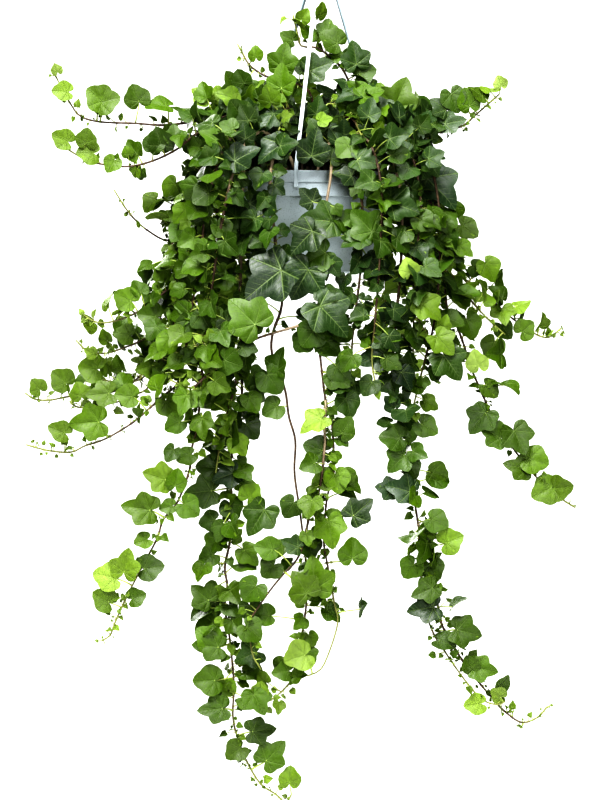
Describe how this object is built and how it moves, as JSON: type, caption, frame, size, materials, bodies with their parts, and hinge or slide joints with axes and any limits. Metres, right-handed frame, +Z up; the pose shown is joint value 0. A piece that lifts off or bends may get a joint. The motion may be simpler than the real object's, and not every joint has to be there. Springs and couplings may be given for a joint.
{
  "type": "potted english ivy",
  "caption": "English ivy in a plastic hanging pot on a three-strap hanger with a hook: a dense crown of lobed leaves and long stems that trail far below the pot.",
  "frame": {"origin": "the point inside the hook's crown that bears on whatever carries the part", "axes": "+Z up, -Y towards the front where the growth is fullest, +X to the right seen from the front"},
  "size_m": [0.6873, 0.3898, 1.1119],
  "materials": {
    "pot_plastic": "satin",
    "strap_plastic": "satin",
    "soil": "matte",
    "foliage": "satin"
  },
  "bodies": {
    "root": {"back_1": "foliage", "back_2": "foliage", "back_3": "foliage", "back_4": "foliage", "back_5": "foliage", "back_6": "foliage", "back_7": "foliage", "back_8": "foliage", "crown_1": "foliage", "crown_10": "foliage", "crown_11": "foliage", "crown_12": "foliage", "crown_2": "foliage", "crown_3": "foliage", "crown_4": "foliage", "crown_5": "foliage", "crown_6": "foliage", "crown_7": "foliage", "crown_8": "foliage", "crown_9": "foliage", "fill_right_1": "foliage", "fill_right_2": "foliage", "fill_right_3": "foliage", "fill_right_4": "foliage", "hook": "strap_plastic", "pot": "pot_plastic", "shoot_left_1": "foliage", "shoot_left_2": "foliage", "shoot_right": "foliage", "soil": "soil", "strap_1": "strap_plastic", "strap_2": "strap_plastic", "strap_3": "strap_plastic", "top_centre": "foliage", "top_left": "foliage", "top_right": "foliage", "trail_front_1": "foliage", "trail_front_2": "foliage", "trail_front_3": "foliage", "trail_left_1": "foliage", "trail_left_2": "foliage", "trail_left_3": "foliage", "trail_left_4": "foliage", "trail_left_5": "foliage", "trail_left_6": "foliage", "trail_left_7": "foliage", "trail_right_1": "foliage", "trail_right_2": "foliage", "trail_right_3": "foliage", "trail_right_4": "foliage", "trail_right_5": "foliage", "twig_left": "foliage"}
  },
  "joints": []
}
